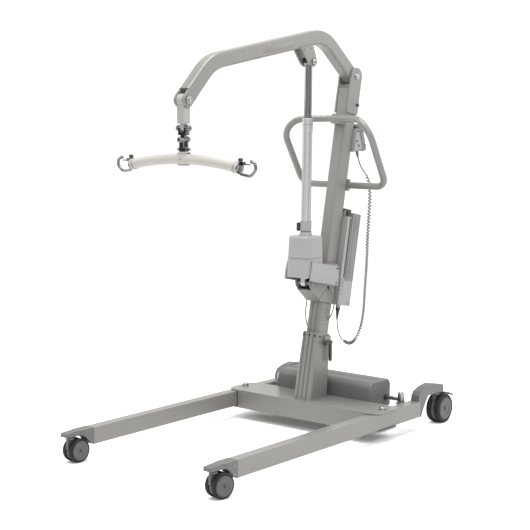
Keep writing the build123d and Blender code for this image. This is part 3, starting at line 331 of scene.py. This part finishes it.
def along_mast(x, behind, along):
    """World point of a place given in the mast's own leaning frame."""
    return TOP + Vector((x, behind * math.cos(LEAN) + along * math.sin(LEAN),
                         -behind * math.sin(LEAN) + along * math.cos(LEAN)))


MAST_TURN = Matrix.Rotation(-LEAN, 3, "X")


def screw(name, origin, axis, slot, body, radius=0.0038, socket=True):
    """Low cap screw with a recess in its head."""
    r = radius
    profile = [(0.0003, 0.0010 if socket else 0.0024), (r * 0.42, 0.0010 if socket else 0.0024),
               (r * 0.46, 0.0022), (r * 0.86, 0.0021), (r, 0.0012), (r, -0.001)]
    return lathe(name, profile, origin, axis, slot, body, turns=24)


# ------------------------------------------------------------------ the handset's curly cord
WIRE = 0.00225                            # radius of the wire
COIL = 0.0047                             # radius of the wire's centre line in the coil
OPEN_PITCH, CLOSE_PITCH = 0.0125, 0.0090
LEAD_TOP = [(6, 486.9, 919.6), (9, 493, 898), (13.5, 502.5, 878), (20, 519, 860.5)]
COIL_LINE = [(20, 519, 860.5), (26, 536, 812), (29.5, 526.5, 728), (32, 512.5, 630), (33.5, 508, 545),
             (35, 493.5, 440), (35.5, 487, 362), (35, 463, 294), (35, 412, 266), (35, 366, 287)]
LEAD_LOW = [(35, 366, 287), (35, 350, 302), (35, 338, 323), (35, 332, 347), (35, 330, 368)]


def metres(points):
    return [Vector(p) / 1000.0 for p in points]


def points_along(curve):
    """Points that a curve without thickness passes through."""
    holder = bpy.data.objects.new("route", curve)
    bpy.context.collection.objects.link(holder)
    bpy.context.view_layer.update()
    mesh = bpy.data.meshes.new_from_object(holder)
    found = [v.co.copy() for v in mesh.vertices]
    bpy.data.objects.remove(holder)
    bpy.data.meshes.remove(mesh)
    return found


def line_points(points, resolution=40):
    """Points read from the smooth line that has these control points."""
    curve = bpy.data.curves.new("route", "CURVE")
    curve.dimensions = "3D"
    curve.resolution_u = resolution
    line = curve.splines.new("NURBS")
    line.points.add(len(points) - 1)
    for k, p in enumerate(points):
        line.points[k].co = (*p, 1.0)
    line.order_u = 3
    line.use_endpoint_u = True
    return points_along(curve)


def helix(route, radius, pitch_of, start, end, per_turn=12, plain_step=0.004, ease_run=0.014):
    """Points along the route that wind round it between start and end; pitch_of gives the pitch there."""
    steps = [(b - a).length for a, b in zip(route, route[1:])]
    marks = [0.0]
    for step in steps:
        marks.append(marks[-1] + step)
    tangent = (route[1] - route[0]).normalized()
    side = tangent.orthogonal().normalized()
    points, angle, here, k = [], 0.0, 0.0, 0
    while here < marks[-1] - plain_step / 2:
        while k < len(steps) - 1 and marks[k + 1] < here:
            k += 1
            tangent = (route[k + 1] - route[k]).normalized()
            side = (side - tangent * side.dot(tangent)).normalized()
        base = route[k].lerp(route[k + 1], (here - marks[k]) / steps[k])
        ease = max(0.0, min(1.0, (here - start) / ease_run, (end - here) / ease_run))
        reach = radius * ease * ease * (3.0 - 2.0 * ease)
        points.append(base + (side * math.cos(angle) + tangent.cross(side) * math.sin(angle)) * reach)
        if start <= here < end:
            angle += 2 * math.pi / per_turn
            here += pitch_of((here - start) / (end - start)) / per_turn
        elif here < start:
            here += min(plain_step, start - here + 0.0001)
        else:
            here += plain_step
    return points + [route[-1]]


def run_length(points):
    return sum((b - a).length for a, b in zip(points, points[1:]))


def coil_pitch(fraction):
    """Pitch of the turns at a fraction of the coil's length: stretched at the top, closer lower down."""
    return OPEN_PITCH - (OPEN_PITCH - CLOSE_PITCH) * min(1.0, fraction * 1.5)


def curly_cord():
    """The handset's wire: plain lead, coil and plain lead as one curve."""
    route = line_points(metres(LEAD_TOP)[:-1] + metres(COIL_LINE) + metres(LEAD_LOW)[1:])
    start = run_length(metres(LEAD_TOP))
    end = run_length(route) - run_length(metres(LEAD_LOW))
    points = helix(route, COIL, coil_pitch, start, end)
    wire = tube("curly_cord", points, WIRE, "cord_plastic", "base")
    wire.data.resolution_u = 2
    wire.data.bevel_resolution = 3
    thin = wire.data.copy()
    thin.bevel_depth = 0.0
    length = run_length(points_along(thin))
    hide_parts("cord_upper_lead", "cord_coil", "cord_lower_lead")
    print("curly cord", round(length, 3), "m")


# ------------------------------------------------------------------ small pieces
def joint(name):
    found = [j for j in frame["joints"] if j["name"] == name][0]
    return Vector(found["pos_m"]), Vector(found["axis"]).normalized()


def ring(name, radius, thick, origin, axis, slot, body, turns=56):
    """Thin round bead lying in a circle."""
    steps = [k * math.pi / 4 for k in range(8)]
    profile = [(radius + thick * math.cos(a), thick * math.sin(a)) for a in steps + [0.0]]
    return lathe(name, profile, origin, axis, slot, body, turns)


def wheel_faces():
    """Dished hub face, axle cap, edge ring and tread lines on both faces of each twin wheel."""
    for end, hub, half, radius in (("front", 0.031, 0.0236, 0.0375), ("rear", 0.039, 0.0256, 0.050)):
        for side in ("right", "left"):
            place, axis = joint("caster_roll_%s_%s" % (end, side))
            body = "wheel_%s_%s" % (end, side)
            for sign in (-1, 1):
                out = axis * sign
                face = place + out * half
                tag = "%s_%s_%s" % (end, side, "out" if sign > 0 else "in")
                lathe("hub_face_" + tag,
                      [(0.0002, 0.0012), (hub * 0.30, 0.0012), (hub * 0.34, -0.0004), (hub * 0.52, -0.0008),
                       (hub * 0.56, 0.0008), (hub * 0.86, 0.0010), (hub * 0.90, 0.0), (hub * 0.96, -0.0006)],
                      face, out, "hub_plastic", body, turns=56)
                lathe("axle_cap_" + tag,
                      [(0.0002, 0.0034), (0.0036, 0.0033), (0.0050, 0.0026), (0.0056, 0.0008)],
                      face, out, "black_plastic", body, turns=32)
                ring("hub_edge_" + tag, hub * 0.985, 0.0006, face, out, "black_plastic", body)
                tread = radius - 0.0002
                inner = place + out * (half - 0.0075)
                ring("tyre_line_" + tag, tread, 0.0005, inner, out, "tyre_rubber", body)
                ring("tyre_line_b_" + tag, tread, 0.0005, inner - out * 0.0055, out, "tyre_rubber", body)


def caster_trim():
    """Stem seals, stem races and pedal treads."""
    collar = 0.0131
    for end, under in (("front", 0.0834), ("rear", 0.1114)):
        for side in ("right", "left"):
            place, _ = joint("caster_swivel_%s_%s" % (end, side))
            base = Vector((place.x, place.y, under - 0.0014))
            ring("stem_seal_%s_%s" % (end, side), collar, 0.0012, base, (0, 0, 1), "black_plastic",
                 "swivel_%s_%s" % (end, side))
            ring("stem_race_%s_%s" % (end, side), collar - 0.0006, 0.0009, base - Vector((0, 0, 0.0042)),
                 (0, 0, 1), "zinc_steel", "swivel_%s_%s" % (end, side))
    slope = Matrix.Rotation(math.radians(-19), 3, "X")
    for side in ("right", "left"):
        low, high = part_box("brake_pedal_" + side)
        for k in range(4):
            y = high[1] - 0.006 - 0.005 * k
            z = low[2] + 0.0056 + 0.0011 * k
            rounded_box("pedal_tread_%s_%d" % (side, k), (0.032, 0.0022, 0.0016),
                        ((low[0] + high[0]) / 2, y, z + 0.0008), slope, "black_plastic",
                        "pedal_" + side, 0.0005)


def weld(name, points, body, slot="frame_paint", radius=0.0019):
    """Painted weld bead with uneven ripples along a line of points."""
    steps = []
    for a, b in zip(points, points[1:]):
        a, b = Vector(a), Vector(b)
        count = max(2, int((b - a).length / 0.0028))
        steps += [a.lerp(b, k / count) for k in range(count)]
    steps.append(Vector(points[-1]))
    curve = bpy.data.curves.new(name, "CURVE")
    curve.dimensions = "3D"
    curve.bevel_depth = radius
    curve.bevel_resolution = 3
    line = curve.splines.new("POLY")
    line.points.add(len(steps) - 1)
    for k, p in enumerate(steps):
        line.points[k].co = (*p, 1.0)
        line.points[k].radius = 0.82 + 0.26 * (k % 2) + random.uniform(-0.1, 0.1)
    return piece(name, curve, slot, body)


def frame_welds():
    """Beads at the socket's foot, the legs' ends, the boom bracket, the fork, the column and the tray."""
    low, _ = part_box("mast_socket")
    z = low[2] + 0.0006
    x = 0.0355
    front, back = low[1] + 0.0006, 0.2775
    weld("weld_socket_foot", [(-x + 0.006, front, z), (x - 0.006, front, z), (x, front + 0.006, z),
                              (x, back - 0.006, z), (x - 0.006, back, z), (-x + 0.006, back, z),
                              (-x, back - 0.006, z), (-x, front + 0.006, z), (-x + 0.006, front, z)], "base")
    for side, sign in SIDES:
        leg_low, leg_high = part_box("leg_tube_" + side)
        x0, x1 = sorted((sign * (LEG_X - LEG_HALF), sign * (LEG_X + LEG_HALF)))
        y = leg_low[1]
        weld("weld_leg_front_" + side, [(x0 + 0.002, y, 0.0988), (x1 - 0.002, y, 0.0988), (x1, y, 0.0965),
                                        (x1, y, 0.048)], "leg_" + side, radius=0.0011)
        weld("weld_leg_front_in_" + side, [(x0, y, 0.0965), (x0, y, 0.048)], "leg_" + side, radius=0.0011)
        y = leg_high[1] - 0.0004
        weld("weld_leg_rear_" + side, [(x0 + 0.003, y, 0.0992), (x1 - 0.003, y, 0.0992)], "leg_" + side,
             radius=0.0012)
    for tag, sign in SIDES:
        x = sign * 0.0215
        weld("weld_boom_bracket_" + tag, [(x, 0.142, 1.2915), (x, 0.172, 1.2975), (x, 0.204, 1.3035)], "boom",
             radius=0.0013)
        x = sign * 0.0222
        weld("weld_fork_" + tag, [along_mast(x, -0.028, -0.1305), along_mast(x, 0.0, -0.1312),
                                  along_mast(x, 0.028, -0.1305)], "base", radius=0.0014)
        x = sign * 0.0275
        weld("weld_column_" + tag, [along_mast(x, -0.032, -0.7878), along_mast(x, -0.006, -0.7895),
                                    along_mast(x, 0.016, -0.7905)], "base", radius=0.0014)
    tray_y, tray_z = 0.2975, 0.0716
    weld("weld_beam_tray", [(x, tray_y, tray_z) for x in (-0.188, -0.06, 0.06, 0.188)], "base", radius=0.0015)


def base_trim():
    """Screws, seam and vents of the cover, rod seals and grooves, pivot washers, casting screws."""
    low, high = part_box("base_cover")
    for k, x in enumerate((-0.172, -0.06, 0.06, 0.172)):
        screw("cover_screw_%d" % k, (x, high[1] + 0.0002, low[2] + 0.018), (0, 1, 0), "zinc_steel", "base",
              0.0036)
    for tag, sign in SIDES:
        end = high[0] if sign > 0 else low[0]
        for k, (y, z) in enumerate(((low[1] + 0.018, low[2] + 0.02), (high[1] - 0.018, low[2] + 0.02),
                                    (low[1] + 0.03, high[2] - 0.022))):
            screw("cover_end_screw_%s_%d" % (tag, k), (end + sign * 0.0001, y, z), (sign, 0, 0), "zinc_steel",
                  "base", 0.0032)
        ring("rod_seal_" + tag, 0.0092, 0.0013, (end + sign * 0.0005, ROD_Y, ROD_Z), (1, 0, 0),
             "black_plastic", "base")
        ring("pivot_washer_" + tag, 0.0128, 0.0011, (sign * LEG_X, PIVOT_Y, 0.1047), (0, 0, 1), "zinc_steel",
             "base")
        ring("rod_groove_" + tag, 0.0069, 0.0005, (sign * 0.222, ROD_Y, ROD_Z), (1, 0, 0), "zinc_steel",
             "spreader_" + tag)
    for k in range(9):
        rounded_box("cover_vent_%d" % k, (0.034, 0.0012, 0.0028),
                    (-0.11, high[1] + 0.0001, low[2] + 0.036 + 0.0062 * k - 0.012), Matrix.Identity(3),
                    "black_plastic", "base", 0.0005)
    seam_y, seam_z = low[1] + 0.062, high[2] + 0.0001
    weld("cover_seam", [(low[0] + 0.006, seam_y, seam_z), (high[0] - 0.006, seam_y, seam_z)], "base",
         "black_plastic", 0.0006)
    for tag, sign in SIDES:
        x = sign * (LEG_X + LEG_HALF - 0.0001)
        for casting, y in (("bracket", -0.541), ("arm", 0.412)):
            for k, z in enumerate((0.060, 0.084)):
                screw("%s_screw_%s_%d" % (casting, tag, k), (x, y, z), (sign, 0, 0), "zinc_steel",
                      "leg_" + tag, 0.0034)


def mast_trim():
    """Column marks, screws, cable grommet and strip, bumper and pin washers of the mast."""
    for k in range(5):
        z = -0.862 + 0.0125 * k
        length = 0.028 if k % 2 else 0.036
        line = [along_mast(0.0272, -0.026, z), along_mast(0.0272, -0.026 + length, z)]
        weld("column_mark_%d" % k, line, "base", "hub_plastic", 0.0005)
    for k, x in enumerate((-0.024, 0.0, 0.024)):
        screw("socket_screw_%d" % k, along_mast(x, -0.0476, -0.905), FORWARDS, "black_plastic", "base",
              0.0040)
    for k, behind in enumerate((-0.030, -0.004)):
        screw("socket_side_screw_%d" % k, along_mast(0.0322, behind, -0.906), (1, 0, 0.02), "black_plastic",
              "base", 0.0038)
    for tag, sign in SIDES:
        screw("saddle_bolt_" + tag, along_mast(sign * 0.0199, -0.0345, -0.157), (sign, 0, 0), "zinc_steel",
              "base", 0.0044)
        screw("cradle_bolt_" + tag, along_mast(sign * 0.0259, 0.034, -0.3655), (sign, 0, 0), "zinc_steel",
              "base", 0.0044)
    lathe("cable_grommet", [(0.0002, 0.0030), (0.0042, 0.0028), (0.0062, 0.0012), (0.0066, -0.0004)],
          (0.0321, 0.283, 0.481), (1, 0, 0), "black_plastic", "base", turns=32)
    tube("cable_strip", [(0.0328, 0.279, 0.480), (0.0332, 0.262, 0.468), (0.0332, 0.246, 0.456),
                         (0.0328, 0.234, 0.449)], 0.0016, "housing_plastic", "base")
    for k, (behind, up) in enumerate(((0.002, -0.745), (0.012, -0.706))):
        screw("bracket_side_screw_%d" % k, along_mast(0.0321, behind, up), (1, 0, 0), "zinc_steel", "base",
              0.0036)
    lathe("mast_bumper", [(0.0002, 0.0030), (0.0040, 0.0028), (0.0054, 0.0014), (0.0056, -0.003)],
          along_mast(0.0318, 0.022, -0.096), (1, 0, 0), "black_plastic", "base", turns=28)
    for tag, sign in SIDES:
        ring("pin_washer_" + tag, 0.0125, 0.0010, TOP + Vector((sign * 0.0284, 0, 0)), (1, 0, 0),
             "zinc_steel", "base")


def box_trim():
    """Seams, ribs and screws of the control box and battery, blank plate, latch, grip, lamps, collar."""
    for tag, sign in SIDES:
        x = sign * 0.0451
        weld("battery_seam_" + tag, [along_mast(x, 0.071, -0.692), along_mast(x, 0.071, -0.475)], "battery",
             "black_plastic", 0.0006)
        weld("shelf_seam_" + tag, [along_mast(x, 0.038, -0.703), along_mast(x, 0.098, -0.703)], "base",
             "black_plastic", 0.0005)
        for k in range(5):
            rounded_box("battery_rib_%s_%d" % (tag, k), (0.0016, 0.020, 0.0026),
                        along_mast(sign * 0.0452, 0.086, -0.500 - 0.0075 * k), MAST_TURN, "box_plastic",
                        "battery", 0.0006)
        screw("box_screw_" + tag, along_mast(sign * 0.0446, 0.090, -0.778), (sign, 0, 0), "zinc_steel",
              "base", 0.0034)
    rounded_box("box_plate", (0.052, 0.0010, 0.070), along_mast(0.0, 0.1102, -0.575), MAST_TURN,
                "housing_plastic", "battery", 0.0004)
    rounded_box("battery_latch", (0.026, 0.0030, 0.014), along_mast(0.0, 0.1112, -0.502), MAST_TURN,
                "black_plastic", "battery", 0.0010)
    for k, slot_name in enumerate(("key_plastic", "key_plastic", "red_plastic")):
        lathe("indicator_%d" % k, [(0.0002, 0.0014), (0.0016, 0.0012), (0.0022, 0.0)],
              along_mast(-0.030 + 0.008 * k, 0.1101, -0.722), BACKWARDS, slot_name, "base", turns=20)
    rounded_box("battery_grip", (0.0528, 0.0388, 0.0108), along_mast(0.0, 0.051, -0.461), MAST_TURN,
                "black_plastic", "battery", 0.0036)
    ring("stop_collar", 0.0150, 0.0014, along_mast(0, 0.1106, -0.745), BACKWARDS, "key_plastic", "base")
    rounded_box("box_shadow_strip", (0.0016, 0.006, 0.205), along_mast(0.0421, 0.0505, -0.590), MAST_TURN,
                "black_plastic", "base", 0.0006)
    for k, up in enumerate((-0.668, -0.718)):
        screw("shroud_screw_%d" % k, along_mast(0.0575, -0.010, up), (1, 0, 0), "hub_plastic", "base", 0.0032)


def handset_trim():
    """Key rings, blank face panel and screws of the handset and its cradle."""
    turn = Matrix.Rotation(HANDSET_TILT, 3, "X")
    face = Vector((0, math.cos(HANDSET_TILT), math.sin(HANDSET_TILT)))
    up = Vector((0, -math.sin(HANDSET_TILT), math.cos(HANDSET_TILT)))
    top = HANDSET_TOP
    for k, along in enumerate((-0.028, -0.056)):
        ring("key_ring_%d" % k, 0.0093, 0.0008, top + face * 0.0111 + up * along, face, "black_plastic",
             "base")
    rounded_box("handset_panel", (0.040, 0.0008, 0.012), top + face * 0.0112 + up * -0.0775, turn,
                "housing_plastic", "base", 0.0003)
    lathe("handset_lamp", [(0.0002, 0.0012), (0.0014, 0.0010), (0.0019, 0.0)],
          top + face * 0.0110 + up * -0.0115, face, "key_plastic", "base", turns=20)
    for k, (y, z) in enumerate(((0.446, 1.012), (0.440, 0.978), (0.452, 0.962))):
        screw("cradle_screw_%d" % k, (0.0340, y, z), (1, 0, 0), "black_plastic", "base", 0.0032)
    for k, along in enumerate((-0.018, -0.070)):
        screw("handset_screw_%d" % k, top + Vector((0.0259, 0, 0)) + up * along, (1, 0, 0), "black_plastic",
              "base", 0.0026)
    for k in range(5):
        relief = Vector((0.006, 0.4869, 0.9196)) + up * (0.004 + 0.0045 * k)
        ring("relief_rib_%d" % k, 0.0035 + 0.0005 * k, 0.0007, relief, up, "black_plastic", "base", turns=28)


def actuator_trim():
    """Wiper ring, collar seams, housing seam and screws."""
    tail, _ = joint("actuator_tilt")
    _, line = joint("rod_slide")
    line = Vector(line)

    def at(along):
        return tail + line * along

    for k, (along, radius, thick, slot_name) in enumerate((
            (0.5545, 0.0140, 0.0017, "black_plastic"), (0.5515, 0.0172, 0.0008, "tube_alloy"),
            (0.5125, 0.0174, 0.0009, "tube_alloy"), (0.5320, 0.0175, 0.0006, "black_plastic"),
            (0.2085, 0.0190, 0.0011, "housing_plastic"), (0.1760, 0.0192, 0.0008, "black_plastic"))):
        ring("actuator_ring_%d" % k, radius, thick, at(along), line, slot_name, "actuator")
    seam = 0.088
    side, deep = 0.0490, 0.0528
    spot = at(seam)
    loop = []
    for k in range(41):
        a = 2 * math.pi * k / 40
        cx = math.copysign(abs(math.cos(a)) ** 0.42, math.cos(a)) * side
        cy = math.copysign(abs(math.sin(a)) ** 0.42, math.sin(a)) * deep
        loop.append(spot + Vector((cx * 0.995, cy * 0.995, 0)))
    weld("housing_seam", loop, "actuator", "hub_plastic", 0.0006)
    for k, (dy, along) in enumerate(((-0.028, 0.036), (0.028, 0.036))):
        screw("housing_screw_%d" % k, at(along) + Vector((0.0497, dy, 0)), (1, 0, 0), "hub_plastic",
              "actuator", 0.0032)
    ring("rod_eye_ring", 0.0148, 0.0007, Vector((0.0121, EYE_Y, EYE_Z)), (1, 0, 0), "chromed_steel", "rod")


def hanger_trim():
    """Pin caps, ferrules on the bar, hook knobs, collar lines and screw, pull ring."""
    for tag, sign in SIDES:
        screw("tip_cap_" + tag, (sign * 0.0246, HANG_Y, HANG_Z), (sign, 0, 0), "zinc_steel", "boom", 0.0078)
        screw("rod_cap_" + tag, (sign * 0.0304, EYE_Y, EYE_Z), (sign, 0, 0), "zinc_steel", "boom", 0.0058)
        end = Vector((sign * 0.2075, HANG_Y, 0.9218))
        slope = Vector((sign, 0, -0.19)).normalized()
        ring("bar_ferrule_" + tag, 0.0163, 0.0012, end, slope, "chromed_steel", "sling")
        ring("bar_ferrule_b_" + tag, 0.0163, 0.0008, end - slope * 0.007, slope, "bar_foam", "sling")
        knob = Vector((sign * 0.223, HANG_Y, 0.9445))
        lathe("hook_knob_" + tag, [(0.0002, 0.0052), (0.0046, 0.0050), (0.0064, 0.0036), (0.0072, 0.0008),
                                   (0.0072, -0.0028), (0.0058, -0.0044)], knob, (0, 0, 1), "black_plastic",
              "sling", turns=32)
    for k, z in enumerate((0.9245, 0.9585)):
        ring("collar_line_%d" % k, 0.0189, 0.0007, (0, HANG_Y, z), (0, 0, 1), "hub_plastic", "sling")
    screw("collar_screw", (0.0, -0.4188, 0.941), (0, -1, 0), "zinc_steel", "sling", 0.0036)
    loop = []
    for k in range(15):
        a = 2 * math.pi * k / 14
        loop.append(Vector((0.0225 + 0.0075 * math.sin(a), HANG_Y + 0.0012 * math.sin(2 * a),
                            0.9640 + 0.0068 * math.cos(a))))
    tube("pull_ring", loop, 0.0007, "chromed_steel", "clevis")


def boom_trim():
    """Rivets of the actuator's bracket and a blank plate on the boom's side."""
    for tag, sign in SIDES:
        x = sign * 0.0213
        for k, (y, z) in enumerate(((0.166, 1.283), (0.196, 1.289))):
            screw("bracket_rivet_%s_%d" % (tag, k), (x, y, z), (sign, 0, 0), "zinc_steel", "boom", 0.0030)
    rounded_box("boom_plate", (0.0008, 0.150, 0.018), (0.0211, 0.03, 1.2862),
                Matrix.Rotation(math.radians(10.25), 3, "X"), "frame_paint", "boom", 0.0003)


set_stage()
dress_nodes()
curly_cord()
wheel_faces()
caster_trim()
frame_welds()
base_trim()
mast_trim()
box_trim()
handset_trim()
actuator_trim()
hanger_trim()
boom_trim()
